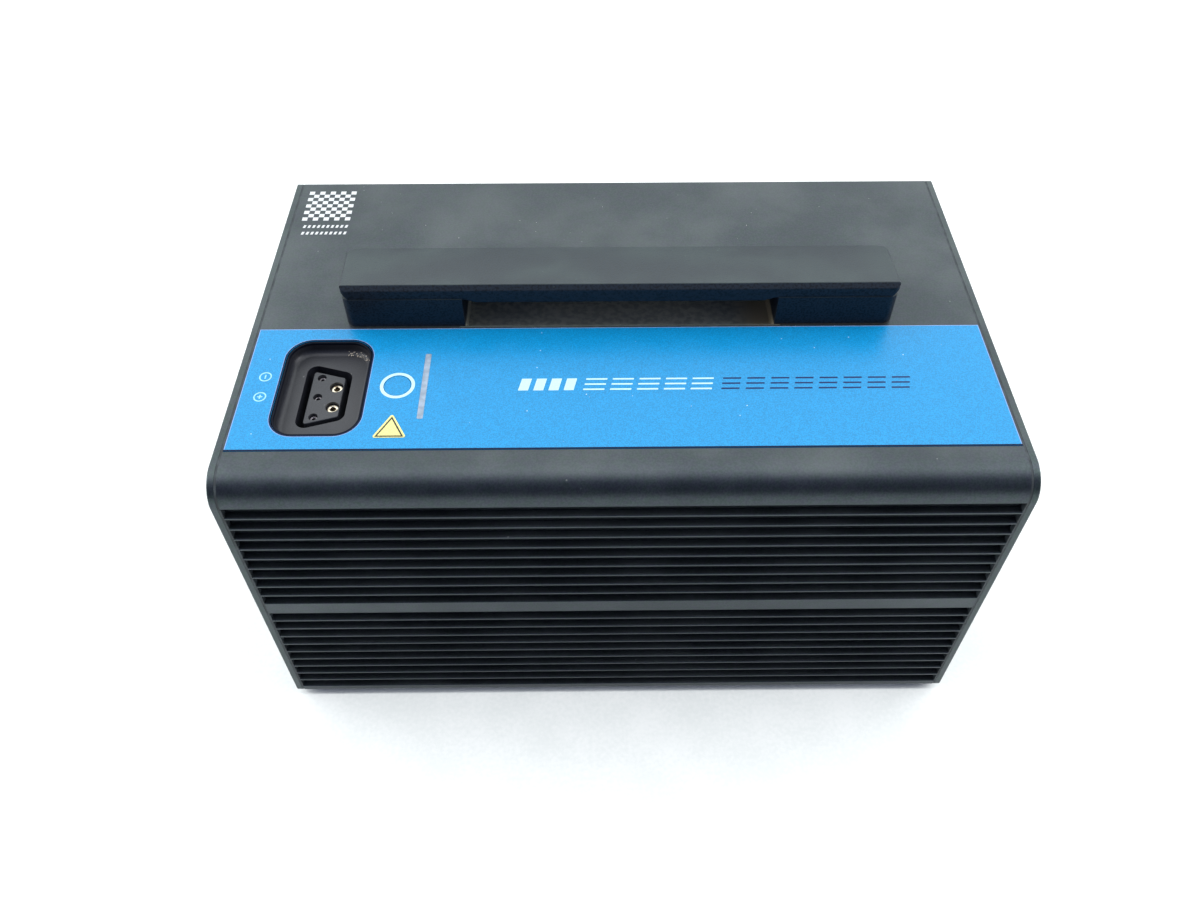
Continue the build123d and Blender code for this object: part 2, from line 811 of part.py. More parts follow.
def positive_busbar():
    """A copper bridge between the inner faces of both blocks, at their last column."""
    reach = block_inner_y - strip_thickness
    x = (cell_columns - 1) / 2 * cell_pitch
    bar = block(x - 6, x + 6, -reach, reach, 100.0, 101.5)
    for side in (-1, 1):
        y0, y1 = sorted((side * reach, side * (reach - 1.5)))
        bar += block(x - 6, x + 6, y0, y1, 84.0, 101.5)
    return bar


def negative_busbar():
    """A copper strap over the top of both blocks, turned down over their first column."""
    reach = block_outer_y + strip_thickness
    x = -(cell_columns - 1) / 2 * cell_pitch
    bar = block(x - 6, x + 6, -reach - 1.2, reach + 1.2, block_top, block_top + 1.2)
    for side in (-1, 1):
        y0, y1 = sorted((side * reach, side * (reach + 1.2)))
        bar += block(x - 6, x + 6, y0, y1, 92.0, block_top + 1.2)
    return bar


# ---- Battery management electronics ----
def bms_tray():
    tray = block(-118.0, 118.0, -66.0, 66.0, block_top, tray_top)
    for x, y in bms_screw_places:
        tray += rod(x, y, tray_top, bms_board_bottom, 3.6)
    for x, y in bms_screw_places:
        tray -= rod(x, y, block_top + 1, bms_board_bottom + 1, 1.45)
    tray -= block(-86.0, -20.0, -34.0, 34.0, block_top - 1, tray_top + 1)
    tray -= block(20.0, 86.0, -34.0, 34.0, block_top - 1, tray_top + 1)
    return tray


def bms_board():
    plan = Rectangle(2 * bms_half_width, 2 * bms_half_depth)
    board = along_z(plan, bms_board_bottom, bms_board_top)
    board = fillet(board.edges().filter_by(Axis.Z), 3.0)
    for x, y in bms_screw_places:
        board -= rod(x, y, 110.0, 125.0, 1.6)
    return board


def bms_screws():
    screw = Rot(180, 0, 0) * small_screw(1.4, 6.5, 2.7, 2.0)
    return Compound([Pos(x, y, bms_board_top) * screw for x, y in bms_screw_places])


def power_transistors():
    """Two rows of flat power transistors under the heat sink, each with three legs moulded in."""
    devices = []
    for index in range(6):
        x = 26.0 + index * 12.5
        for y in (20.0, 36.0):
            devices.append(block(x - 5.0, x + 5.0, y - 4.5, y + 4.5, bms_board_top, mosfet_top))
    return Compound(devices)


def heat_sink():
    sink = block(18.0, 97.0, 14.0, 42.0, mosfet_top, mosfet_top + 3.0)
    for index in range(10):
        x = 18.0 + index * 8.6
        sink += block(x, x + 1.6, 14.0, 42.0, mosfet_top + 3.0, mosfet_top + 15.0)
    return sink


def capacitors():
    cans = []
    for index in range(4):
        can = rod(-20.0 + index * 15.0, -40.0, bms_board_top, bms_board_top + 20.0, 6.2)
        cans.append(fillet(can.edges().sort_by(Axis.Z)[-1], 0.8))
    return Compound(cans)


def board_connectors():
    """The balance header at the back, and the signal and temperature headers at the front left."""
    balance = block(balance_header_x - 24, balance_header_x + 24, 40.0, 48.0, bms_board_top, header_top)
    signal = block(signal_header_x - 8, signal_header_x + 8, -48.0, -41.0, bms_board_top, header_top)
    temperature = block(-60.0, -50.0, -48.0, -41.0, bms_board_top, header_top)
    return Compound([balance, signal, temperature])


def power_terminals():
    posts = []
    for x, y in (battery_terminal, output_terminal):
        post = rod(x, y, bms_board_top, terminal_top, 5.0)
        posts.append(fillet(post.edges().sort_by(Axis.Z)[-1], 0.6))
    return Compound(posts)


def fuse_holder():
    base = block(fuse_x - 9, fuse_x + 9, -28.0, 28.0, block_top, fuse_base_top)
    for side in (-1, 1):
        y = fuse_y + side * fuse_half_length
        base += block(fuse_x - 7, fuse_x + 7, y - 3.0, y + 3.0, fuse_base_top, fuse_base_top + 5.0)
    return base


def main_fuse():
    """A bolt-down strip fuse: a round body between two flat tags."""
    z = fuse_base_top + 5.0
    body = Pos(fuse_x, fuse_y, z + 0.8) * Rot(90, 0, 0) * Cylinder(5.0, 24.0)
    tags = block(fuse_x - 5, fuse_x + 5, -fuse_half_length - 5, fuse_half_length + 5, z, z + 1.6)
    return body + tags


def lead(points, radius):
    """A round lead whose bends are each as large as the shorter of its two runs allows."""
    radii = []
    for index in range(1, len(points) - 1):
        before = Vector(*points[index]) - Vector(*points[index - 1])
        after = Vector(*points[index + 1]) - Vector(*points[index])
        turn = math.radians(before.get_angle(after))
        radii.append(0.45 * min(before.length, after.length) / math.tan(turn / 2))
    path = FilletPolyline(*points, radius=radii)
    section = Plane(origin=path @ 0, z_dir=path % 0) * Circle(radius)
    return sweep(section, path=path)


def positive_leads():
    """A riser from the cells to the fuse, and a lead from the fuse to the port's front power contact."""
    x = (cell_columns - 1) / 2 * cell_pitch
    tag_bottom = fuse_base_top + 6.6
    tag_left = fuse_x - 16.0
    contact_y = port_y - power_contact_spread
    riser = block(x - 4, x + 4, 15.0, 23.0, 101.5, block_top)
    tag_y = -fuse_half_length
    tag = block(tag_left, fuse_x + 4.0, tag_y - 4, tag_y + 4, tag_bottom, tag_bottom + 1.5)
    to_port = lead([
        (tag_left - 0.5, tag_y, 125.0), (104.0, -24.0, 128.0), (62.0, -56.0, 130.0),
        (10.0, -63.0, 131.0), (-45.0, -62.0, 130.0), (-92.0, -65.0, 128.0), (-117.0, -60.0, 127.0),
        (power_contact_x, contact_y, 133.0), (power_contact_x, contact_y, contact_bottom),
    ], lead_radius)
    return Compound([riser, tag, to_port])


def negative_leads():
    """From the strap over the cells to the board, and from the board to the port's rear power contact."""
    strap_x = -(cell_columns - 1) / 2 * cell_pitch
    strap_top = block_top + 1.2
    contact_y = port_y + power_contact_spread
    strap_tag = block(strap_x - 4, -139.0, -4.0, 4.0, strap_top, strap_top + 1.5)
    pieces = [strap_tag]
    for x, y in (battery_terminal, output_terminal):
        pieces.append(block(x - 12.0, x + 4.0, y - 4, y + 4, terminal_top, terminal_top + 1.5))
    lug_end = battery_terminal[0] - 12.9
    pieces.append(lead([
        (-138.0, 0.0, 113.6), (-131.0, 2.0, 115.0), (-124.5, 7.0, 120.0), (-119.0, 11.0, 126.0),
        (lug_end, 12.0, terminal_top + 1.0),
    ], lead_radius))
    pieces.append(lead([
        (lug_end, -14.0, terminal_top + 1.0), (-119.0, -17.0, 128.0), (-123.0, -28.0, 128.5),
        (power_contact_x, contact_y, 132.5), (power_contact_x, contact_y, contact_bottom),
    ], lead_radius))
    return Compound(pieces)


def signal_harness():
    """Three thin wires from the port's signal contacts to the signal header."""
    wires = []
    for step in (-1, 0, 1):
        y = port_y + step * signal_contact_spread
        header = signal_header_x + step * 5.0
        height = 133.5 + step * 2.5
        wires.append(lead([
            (signal_contact_x, y, contact_bottom), (signal_contact_x, y, 134.8),
            (-113.0, y * 0.6 - 18, 135.2), (header - 8.0, -44.5, height),
            (header, -44.5, height - 0.5), (header, -44.5, header_top),
        ], 0.9))
    return Compound(wires)


def balance_harness():
    """The bundle of sensing wires that climbs out of the channel between the blocks."""
    return lead([
        (-140.6, 18.0, 60.0), (-141.0, 17.0, 84.0), (-140.5, 17.0, 106.0), (-133.0, 22.0, 122.0),
        (-114.0, 34.0, 134.0), (-92.0, 44.0, 138.0), (balance_header_x, 44.0, 137.0),
        (balance_header_x, 44.0, header_top),
    ], 2.8)


def temperature_probes():
    """Two sensor beads on the front block, with their wires up to the temperature header."""
    probes = []
    for bead_x, header in ((-72.0, -57.0), (-38.0, -53.0)):
        bead = rod(bead_x, -78.0, block_top, block_top + 3.0, 2.4)
        wire = lead([
            (bead_x, -78.0, block_top + 3.0), (bead_x, -78.0, 122.0), ((bead_x + header) / 2, -71.0, 136.0),
            (header, -56.0, 137.5), (header, -44.5, 136.5), (header, -44.5, header_top),
        ], 0.8)
        probes += [bead, wire]
    return Compound(probes)


def nodes():
    front_outer, front_inner = cell_holders(-1)
    rear_outer, rear_inner = cell_holders(1)
    screws = end_screws()
    gasket = end_gasket()
    return {
        "shell": shell(),
        "end_plate_right": vented_end_plate(),
        "end_plate_left": mirrored(end_plate()),
        "end_gasket_right": gasket,
        "end_gasket_left": mirrored(gasket),
        "end_screws_right": screws,
        "end_screws_left": mirrored(screws),
        "vent_plug": vent_plug(),
        "top_label": top_label(),
        "marker_sticker": marker_sticker(),
        "port_housing": port_housing(),
        "port_insert": port_insert(),
        "port_power_contacts": power_contacts(),
        "port_signal_contacts": signal_contacts(),
        "port_seal": port_seal(),
        "port_screws": port_screws(),
        "charge_button": charge_button(),
        "button_guide": button_guide(),
        "switch_body": switch_body(),
        "switch_plunger": switch_plunger(),
        "light_bar_lens": light_bar_lens(),
        "status_lights": status_lights(),
        "display_housing": display_housing(),
        "display_board": display_board(),
        "display_screws": display_screws(),
        "handle_base": handle_base(),
        "handle_cover": handle_cover(),
        "handle_inserts": handle_inserts(),
        "handle_screws": handle_screws(),
        "handle_brackets": handle_brackets(),
        "handle_seal": handle_seal(),
        "cells_front": cell_block(-1),
        "cells_rear": cell_block(1),
        "cell_holder_front_outer": front_outer,
        "cell_holder_front_inner": front_inner,
        "cell_holder_rear_outer": rear_outer,
        "cell_holder_rear_inner": rear_inner,
        "nickel_strips_front": nickel_strips(-1),
        "nickel_strips_rear": nickel_strips(1),
        "insulation_sheets": insulation_sheets(),
        "thermal_pads": thermal_pads(),
        "foam_pads": foam_pads(),
        "centre_spacer": centre_spacer(),
        "positive_busbar": positive_busbar(),
        "negative_busbar": negative_busbar(),
        "bms_tray": bms_tray(),
        "bms_board": bms_board(),
        "bms_screws": bms_screws(),
        "power_transistors": power_transistors(),
        "heat_sink": heat_sink(),
        "capacitors": capacitors(),
        "board_connectors": board_connectors(),
        "power_terminals": power_terminals(),
        "fuse_holder": fuse_holder(),
        "main_fuse": main_fuse(),
        "positive_leads": positive_leads(),
        "negative_leads": negative_leads(),
        "signal_harness": signal_harness(),
        "balance_harness": balance_harness(),
        "temperature_probes": temperature_probes(),
    }


os.makedirs("parts", exist_ok=True)
for node, shape in nodes().items():
    export_step(Pos(0, 0, rail_height) * shape, f"parts/{node}.step")
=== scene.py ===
import json
import math
import random

import bmesh
import bpy
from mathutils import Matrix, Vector

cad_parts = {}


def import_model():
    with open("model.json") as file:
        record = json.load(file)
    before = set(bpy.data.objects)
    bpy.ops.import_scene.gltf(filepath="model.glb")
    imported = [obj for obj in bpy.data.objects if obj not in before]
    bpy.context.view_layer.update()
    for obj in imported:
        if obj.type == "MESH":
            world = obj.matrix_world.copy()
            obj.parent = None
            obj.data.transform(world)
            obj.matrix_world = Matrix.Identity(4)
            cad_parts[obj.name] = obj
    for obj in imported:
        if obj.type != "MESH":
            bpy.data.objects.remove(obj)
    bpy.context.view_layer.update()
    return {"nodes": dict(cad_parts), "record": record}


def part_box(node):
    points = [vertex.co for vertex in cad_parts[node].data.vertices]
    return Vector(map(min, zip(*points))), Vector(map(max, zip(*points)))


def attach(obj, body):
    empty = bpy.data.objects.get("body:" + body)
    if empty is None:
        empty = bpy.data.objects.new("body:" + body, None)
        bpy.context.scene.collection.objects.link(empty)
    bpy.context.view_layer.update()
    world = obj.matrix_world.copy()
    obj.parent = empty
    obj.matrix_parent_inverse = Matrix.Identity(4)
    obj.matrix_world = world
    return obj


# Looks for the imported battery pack. Every length is in metres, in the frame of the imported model:
# X runs along the case, Y from front to back, Z up, with the origin on the floor.
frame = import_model()

mm = 0.001

# ---- Places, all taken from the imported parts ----
shell_low, shell_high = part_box("shell")
label_low, label_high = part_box("top_label")
port_low, port_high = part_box("port_housing")
button_low, button_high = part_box("charge_button")
sticker_low, sticker_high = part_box("marker_sticker")
case_top = shell_high.z
label_top = label_high.z
port_middle = (port_low + port_high) / 2
button_middle = (button_low + button_high) / 2
button_radius = (button_high.x - button_low.x) / 2
row_y = button_middle.y

# ---- Printed marks, and the painted highlight and shade lines at the label's edges: sizes ----
print_thickness = 0.04 * mm
ring_inner = button_radius + 0.25 * mm
ring_outer = ring_inner + 1.45 * mm
polarity_radius = 2.7 * mm
polarity_line = 0.58 * mm
polarity_beside_port = 25.4 * mm
negative_behind_row = 5.6 * mm
positive_before_row = 6.0 * mm
stripe_height = 6.8 * mm
stripe_slant = 0.22
stripe_line = 0.85 * mm
stripe_lines = 3
bold_dashes = {"start": -44.0 * mm, "end": -20.5 * mm, "count": 4, "gap": 2.2 * mm}
thin_dashes = {"start": -16.5 * mm, "end": 38.0 * mm, "count": 5, "gap": 2.4 * mm}
dark_dashes = {"start": 42.0 * mm, "end": 122.0 * mm, "count": 8, "gap": 2.6 * mm}
# The border, front line and port line sizes are for painted highlight and painted shade lines along the
# label's edges.
border_width = 0.35 * mm
front_line_width = 0.8 * mm
port_hole_width = 37.3 * mm
port_hole_depth = 54.8 * mm
port_hole_radius = 10.5 * mm
port_line = 0.65 * mm
marker_line_outside = 0.90
marker_line_inside = 0.74
code_size = 24.0 * mm
code_cells = 9
code_fill = 0.98
code_margin = 4.0 * mm
code_back = 92.3 * mm
code_dash_rows = (62.5 * mm, 57.3 * mm)
code_dash_count = 10
code_dash_indent = 1.5 * mm
code_dash_pitch = 2.3 * mm
code_dash_width = 1.2 * mm
code_dash_height = 2.1 * mm
code_dash_slant = 0.2

# ---- Loose dirt ----
port_sand_count = 46
label_dust_count = 150
case_dust_count = 26
label_speck_count = 7

# ---- Camera: in front of the pack, looking down on it; angles in degrees ----
camera_place = (-0.0121, -0.3394, 0.4882)
camera_tilt = 41.70
camera_turn = -0.55
camera_lens = 30.346
camera_shift = -0.0333

# ---- Studio: how bright it is, from in front and below (0) round to behind and above (1) ----
studio_toward = (0.0, 0.80, 0.60)
studio_shades = (
    (0.22, (0.015, 0.025, 0.056, 1.0)),
    (0.50, (0.07, 0.082, 0.143, 1.0)),
    (0.80, (0.92, 0.95, 1.0, 1.0)),
    (0.98, (0.655, 0.69, 0.70, 1.0)),
)
studio_strength = 2.46
backdrop_shade = (0.40, 0.41, 0.41, 1.0)
side_box_watts = 9.3
pocket_box_watts = 1.1
floor_half_size = 6.0

# ---- Sockets of a Mix node that mixes colours ----
mix_factor, mix_first, mix_second, mix_result = 0, 6, 7, 2


def linear(red, green, blue):
    """A colour given as it looks on screen, from 0 to 255, in the renderer's linear values."""
    values = []
    for channel in (red, green, blue):
        share = channel / 255
        values.append(share / 12.92 if share <= 0.04045 else ((share + 0.055) / 1.055) ** 2.4)
    return (*values, 1.0)


# ---- A short way to write node materials ----
class Finish:
    """One material: its Principled shader, with object coordinates to drive the patterns."""

    def __init__(self, name, color, roughness, metallic=0.0, specular=0.5):
        self.material = bpy.data.materials.new(name)
        self.material.use_nodes = True
        self.tree = self.material.node_tree
        self.shader = self.tree.nodes["Principled BSDF"]
        self.shader.inputs["Base Color"].default_value = color
        self.shader.inputs["Roughness"].default_value = roughness
        self.shader.inputs["Metallic"].default_value = metallic
        self.shader.inputs["Specular IOR Level"].default_value = specular
        self.place = self.tree.nodes.new("ShaderNodeTexCoord").outputs["Object"]

    def link(self, source, target):
        """Joins a node's output to a socket, or sets the socket to a plain value."""
        if hasattr(source, "is_output"):
            self.tree.links.new(source, target)
        else:
            target.default_value = source

    def stretched(self, x, y, z):
        """Object coordinates scaled on each axis, to draw a pattern out along one of them."""
        node = self.tree.nodes.new("ShaderNodeMapping")
        self.link(self.place, node.inputs["Vector"])
        node.inputs["Scale"].default_value = (x, y, z)
        return node.outputs["Vector"]

    def noise(self, size, detail=2.0, place=None):
        """A cloud pattern from 0 to 1 whose blobs are about size across."""
        node = self.tree.nodes.new("ShaderNodeTexNoise")
        self.link(place or self.place, node.inputs["Vector"])
        node.inputs["Scale"].default_value = 1.0 / size
        node.inputs["Detail"].default_value = detail
        return node.outputs["Fac"]

    def cells(self, size):
        """Distance to the nearest of many scattered points, in units of size."""
        node = self.tree.nodes.new("ShaderNodeTexVoronoi")
        self.link(self.place, node.inputs["Vector"])
        node.inputs["Scale"].default_value = 1.0 / size
        return node.outputs["Distance"]

    def span(self, value, low, high, to_low=0.0, to_high=1.0):
        """Maps low..high to to_low..to_high, smoothly and clamped."""
        node = self.tree.nodes.new("ShaderNodeMapRange")
        node.interpolation_type = "SMOOTHSTEP"
        self.link(value, node.inputs["Value"])
        node.inputs["From Min"].default_value = low
        node.inputs["From Max"].default_value = high
        node.inputs["To Min"].default_value = to_low
        node.inputs["To Max"].default_value = to_high
        return node.outputs["Result"]

    def maths(self, operation, first, second):
        node = self.tree.nodes.new("ShaderNodeMath")
        node.operation = operation
        self.link(first, node.inputs[0])
        self.link(second, node.inputs[1])
        return node.outputs["Value"]

    def mix(self, factor, first, second):
        node = self.tree.nodes.new("ShaderNodeMix")
        node.data_type = "RGBA"
        self.link(factor, node.inputs[mix_factor])
        self.link(first, node.inputs[mix_first])
        self.link(second, node.inputs[mix_second])
        return node.outputs[mix_result]

    def position(self):
        """X, Y and Z of the shaded point."""
        node = self.tree.nodes.new("ShaderNodeSeparateXYZ")
        self.link(self.place, node.inputs["Vector"])
        return node.outputs

    def facing_up(self, low=0.75, high=0.97):
        """1 on level faces that look up, 0 on walls and on faces that look down."""
        geometry = self.tree.nodes.new("ShaderNodeNewGeometry")
        parts = self.tree.nodes.new("ShaderNodeSeparateXYZ")
        self.link(geometry.outputs["Normal"], parts.inputs["Vector"])
        return self.span(parts.outputs["Z"], low, high)

    def color(self, value):
        self.link(value, self.shader.inputs["Base Color"])

    def rough(self, value):
        self.link(value, self.shader.inputs["Roughness"])

    def metal(self, value):
        self.link(value, self.shader.inputs["Metallic"])

    def bump(self, value, depth, strength=1.0):
        node = self.tree.nodes.new("ShaderNodeBump")
        self.link(value, node.inputs["Height"])
        node.inputs["Distance"].default_value = depth
        node.inputs["Strength"].default_value = strength
        self.link(node.outputs["Normal"], self.shader.inputs["Normal"])


def darker(color, share):
    return (color[0] * share, color[1] * share, color[2] * share, 1.0)


def dusty(finish, base, dust_color, amount):
    """Covers upward faces with a mottled film of dust and a few loose specks; gives color and mask."""
    blotches = finish.span(finish.noise(38 * mm, 4.0), 0.35, 0.72, 0.35, 1.0)
    film = finish.maths("MULTIPLY", blotches, finish.facing_up())
    film = finish.maths("MULTIPLY", film, amount)
    specks = finish.span(finish.cells(5.5 * mm), 0.05, 0.085, 1.0, 0.0)
    sparse = finish.span(finish.noise(26 * mm, 1.0), 0.55, 0.66)
    specks = finish.maths("MULTIPLY", specks, sparse)
    specks = finish.maths("MULTIPLY", specks, finish.facing_up(0.2, 0.6))
    cover = finish.maths("MAXIMUM", film, finish.maths("MULTIPLY", specks, 0.75))
    return finish.mix(cover, base, dust_color), cover


# ---- Materials of the case and of what shows on it ----
def anodised(name, tone):
    """Dark anodised aluminium: a fine mottled grain with a slight drift of hue, dusty on top."""
    finish = Finish(name, tone, 0.42, metallic=1.0)
    grain = finish.noise(0.8 * mm, 4.0)
    greener = (tone[0] * 0.95, tone[1] * 1.03, tone[2] * 0.94, 1.0)
    bluer = (tone[0] * 1.05, tone[1] * 0.96, tone[2] * 1.07, 1.0)
    drift = finish.span(finish.noise(2.5 * mm, 3.0), 0.4, 0.6)
    shade = finish.mix(drift, greener, bluer)
    light = finish.span(grain, 0.35, 0.65, 0.0, 0.36)
    shade = finish.mix(light, shade, darker(tone, 1.75))
    patches = finish.noise(32 * mm, 4.0)
    shade = finish.mix(finish.span(patches, 0.35, 0.7, 0.0, 0.22), shade, darker(tone, 0.6))
    color, cover = dusty(finish, shade, linear(104, 110, 108), 0.26)
    finish.color(color)
    finish.metal(finish.maths("SUBTRACT", 0.93, cover))
    finish.rough(finish.span(finish.noise(9 * mm, 4.0), 0.3, 0.7, 0.36, 0.42))
    finish.bump(grain, 0.02 * mm, 0.6)
    return finish.material


def moulded(name, tone, dust, roughness=0.42, shade_above=None):
    """Fine-grained moulded plastic, dusty where it faces up and bare black with weak reflections above a
    given height: painted shade for the dark gap at the port's rim.
    """
    finish = Finish(name, tone, roughness)
    grain = finish.noise(0.6 * mm, 3.0)
    shade = finish.mix(finish.span(grain, 0.35, 0.65), darker(tone, 0.75), darker(tone, 1.3))
    color, cover = dusty(finish, shade, linear(112, 112, 110), dust)
    if shade_above:
        # Painted shade: near-black with little reflection above the given height, a dark gap line at the
        # port's rim.
        gap_shade = finish.span(finish.position()["Z"], shade_above - 0.3 * mm, shade_above)
        color = finish.mix(gap_shade, color, (0.004, 0.006, 0.012, 1.0))
        finish.link(finish.span(gap_shade, 0.0, 1.0, 0.5, 0.08), finish.shader.inputs["Specular IOR Level"])
    finish.color(color)
    uneven = finish.span(finish.noise(14 * mm, 3.0), 0.3, 0.7, roughness - 0.05, roughness + 0.07)
    finish.rough(finish.maths("ADD", uneven, finish.maths("MULTIPLY", cover, 0.25)))
    finish.bump(grain, 0.03 * mm, 0.5)
    return finish.material


def handle_plastic(name):
    """Like the other mouldings, with a pale brown patch deep in the finger pocket: partly grime, partly
    painted light on the pocket's floor.
    """
    tone = (0.009, 0.014, 0.022, 1.0)
    finish = Finish(name, tone, 0.5, specular=0.20)
    grain = finish.noise(0.9 * mm, 4.0)
    shade = finish.mix(finish.span(grain, 0.35, 0.65), darker(tone, 0.4), darker(tone, 1.8))
    color, cover = dusty(finish, shade, linear(104, 122, 114), 0.24)
    color = finish.mix(finish.span(grain, 0.42, 0.68, 0.0, 0.5), color, darker(tone, 0.4))
    place = finish.position()
    # Deep in the pocket the colour turns pale brown, more so towards the right post: partly grime, partly
    # painted light that brightens the dim pocket floor.
    deep = finish.span(place["Z"], case_top + 1 * mm, case_top - 3 * mm)
    grime = finish.span(finish.noise(3 * mm, 5.0), 0.38, 0.62, 0.65, 0.95)
    near_post = finish.span(place["X"], 0.052, 0.066, 0.0, 0.5)
    grime = finish.maths("MULTIPLY", finish.maths("ADD", grime, near_post), deep)
    grime = finish.maths("MINIMUM", grime, 1.0)
    brown = finish.span(place["X"], 0.050, 0.064)
    color = finish.mix(grime, color, finish.mix(brown, linear(190, 192, 176), linear(172, 162, 136)))
    finish.color(color)
    dirt = finish.maths("MAXIMUM", cover, grime)
    finish.rough(finish.maths("ADD", 0.48, finish.maths("MULTIPLY", dirt, 0.3)))
    finish.bump(grain, 0.12 * mm, 1.0)
    return finish.material


def printed_film(name, tone):
    """A printed film under a satin clear layer, with a fine speckle in its colour."""
    finish = Finish(name, tone, 0.32, specular=0.42)
    speckle = finish.noise(0.5 * mm, 3.0)
    color = finish.mix(finish.span(speckle, 0.35, 0.65), darker(tone, 0.80), darker(tone, 1.16))
    wear = finish.span(finish.noise(5 * mm, 4.0), 0.4, 0.65, 0.0, 0.08)
    color = finish.mix(wear, color, darker(tone, 0.7))
    specks = finish.span(finish.cells(9 * mm), 0.02, 0.035, 0.7, 0.0)
    color = finish.mix(specks, color, (0.75, 0.80, 0.85, 1.0))
    finish.color(color)
    finish.rough(finish.span(finish.noise(12 * mm, 4.0), 0.3, 0.7, 0.28, 0.36))
    finish.bump(speckle, 0.015 * mm, 0.6)
    return finish.material


def ink(name, tone, specular=0.5):
    """Screen-printed ink, a little uneven in its colour."""
    finish = Finish(name, tone, 0.5, specular=specular)
    mottle = finish.noise(0.5 * mm, 3.0)
    finish.color(finish.mix(finish.span(mottle, 0.35, 0.65), darker(tone, 0.86), tone))
    finish.bump(mottle, 0.01 * mm, 0.4)
    return finish.material


def metal(name, tone, roughness, tarnish):
    """Plated or turned metal with fine circular tool marks and some tarnish."""
    finish = Finish(name, tone, roughness, metallic=1.0)
    stain = finish.span(finish.noise(1.6 * mm, 4.0), 0.42, 0.68)
    finish.color(finish.mix(stain, tone, tarnish))
    scratches = finish.noise(0.3 * mm, 4.0, finish.stretched(1.0, 1.0, 8.0))
    finish.rough(finish.span(scratches, 0.3, 0.7, roughness * 0.75, roughness * 1.4))
    finish.bump(scratches, 0.01 * mm, 0.5)
    return finish.material


def rubber(name, tone):
    finish = Finish(name, tone, 0.6, specular=0.3)
    bloom = finish.noise(6 * mm, 5.0)
    finish.color(finish.mix(finish.span(bloom, 0.35, 0.7), tone, darker(tone, 1.9)))
    finish.bump(finish.noise(0.4 * mm, 2.0), 0.02 * mm, 0.5)
    return finish.material


def milky_lens(name):
    """A translucent light guide, unevenly cloudy."""
    tone = linear(150, 166, 182)
    finish = Finish(name, tone, 0.3)
    finish.shader.inputs["Subsurface Weight"].default_value = 0.25
    finish.shader.inputs["Subsurface Radius"].default_value = (0.002, 0.002, 0.003)
    cloud = finish.noise(3 * mm, 4.0)
    finish.color(finish.mix(finish.span(cloud, 0.35, 0.68), darker(tone, 0.72), tone))
    finish.bump(finish.noise(0.6 * mm, 2.0), 0.01 * mm, 0.4)
    return finish.material


# ---- Materials of the parts inside the case ----
def circuit_board(name):
    """Green solder mask over a faint pattern of copper tracks."""
    mask = (0.012, 0.11, 0.045, 1.0)
    finish = Finish(name, mask, 0.3)
    tracks = finish.noise(5 * mm, 0.0, finish.stretched(1.0, 0.12, 1.0))
    tracks = finish.span(tracks, 0.49, 0.52)
    finish.color(finish.mix(tracks, mask, (0.03, 0.22, 0.09, 1.0)))
    finish.bump(tracks, 0.03 * mm, 0.5)
    return finish.material


def cell_sleeve(name):
    tone = (0.05, 0.26, 0.30, 1.0)
    finish = Finish(name, tone, 0.35)
    wrap = finish.noise(4 * mm, 3.0, finish.stretched(1.0, 0.1, 1.0))
    finish.color(finish.mix(finish.span(wrap, 0.35, 0.65), darker(tone, 0.85), darker(tone, 1.15)))
    finish.bump(wrap, 0.03 * mm, 0.4)
    return finish.material


def paper(name):
    tone = (0.36, 0.42, 0.26, 1.0)
    finish = Finish(name, tone, 0.85)
    fibres = finish.noise(0.8 * mm, 5.0, finish.stretched(1.0, 1.0, 0.25))
    finish.color(finish.mix(finish.span(fibres, 0.3, 0.7), darker(tone, 0.8), darker(tone, 1.15)))
    finish.bump(fibres, 0.03 * mm, 0.6)
    return finish.material


def foam(name, tone):
    finish = Finish(name, tone, 0.95, specular=0.2)
    pores = finish.cells(0.8 * mm)
    finish.color(finish.mix(finish.span(pores, 0.1, 0.6), darker(tone, 0.4), darker(tone, 1.4)))
    finish.bump(pores, 0.2 * mm, 0.8)
    return finish.material


def ceramic(name):
    tone = (0.70, 0.67, 0.58, 1.0)
    finish = Finish(name, tone, 0.35)
    glaze = finish.noise(2.5 * mm, 4.0)
    finish.color(finish.mix(finish.span(glaze, 0.4, 0.7), tone, darker(tone, 0.82)))
    finish.bump(glaze, 0.02 * mm, 0.4)
    return finish.material


